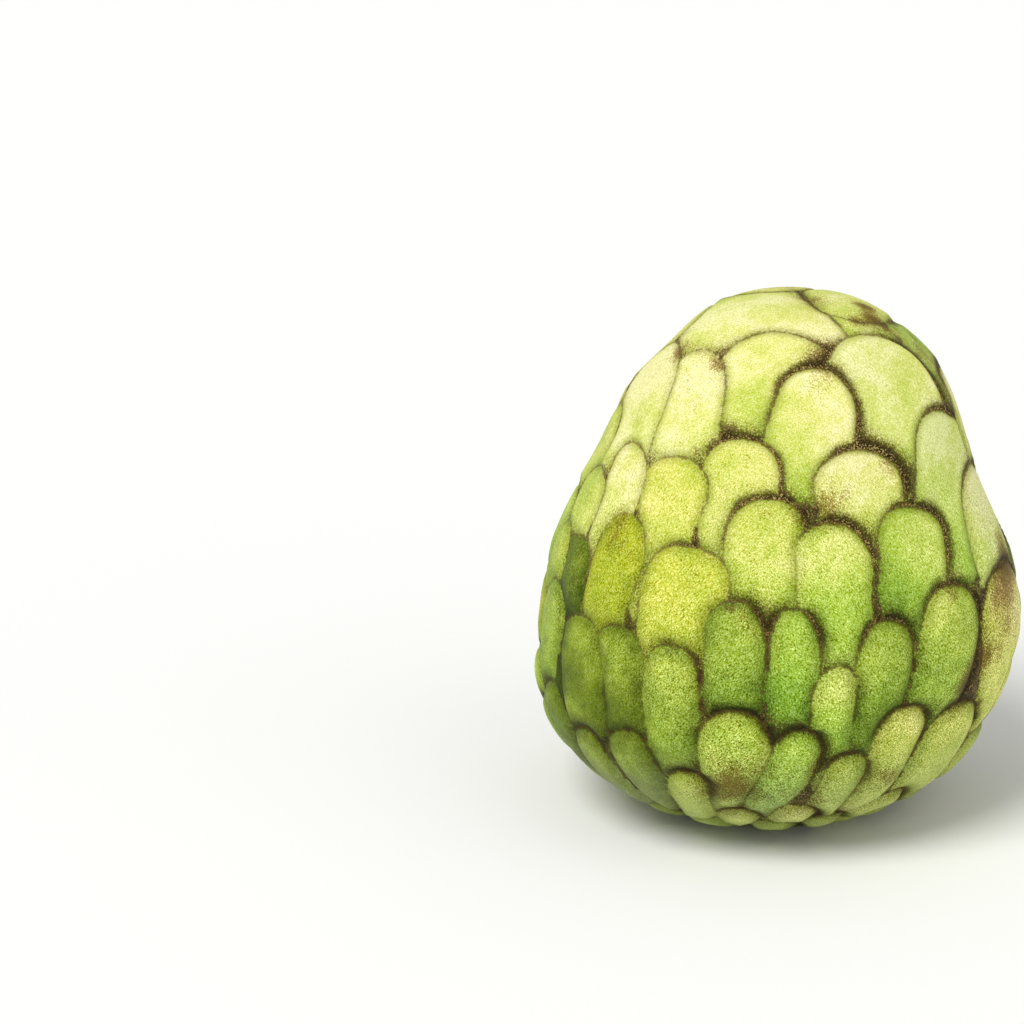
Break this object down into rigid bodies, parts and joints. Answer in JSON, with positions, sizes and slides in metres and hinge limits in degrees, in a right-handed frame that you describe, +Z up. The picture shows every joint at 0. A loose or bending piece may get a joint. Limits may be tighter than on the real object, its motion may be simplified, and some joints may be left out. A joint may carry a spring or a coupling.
{
  "type": "custard apple",
  "caption": "Whole custard apple (cherimoya): a leaning, blunt-topped green fruit, widest low down, standing on a small flat ring round its stalk hollow.",
  "frame": {"origin": "bottom centre of the fruit, on the surface it stands on, in the middle of the flat foot ring", "axes": "+Z up, from the stalk end to the blossom end; +X to the side that the tip leans to; -Y is the front"},
  "size_m": [0.0871, 0.0855, 0.095],
  "materials": {
    "skin": "satin waxy green fruit skin with brown corky lines"
  },
  "bodies": {
    "root": {"fruit": "skin"}
  },
  "joints": []
}
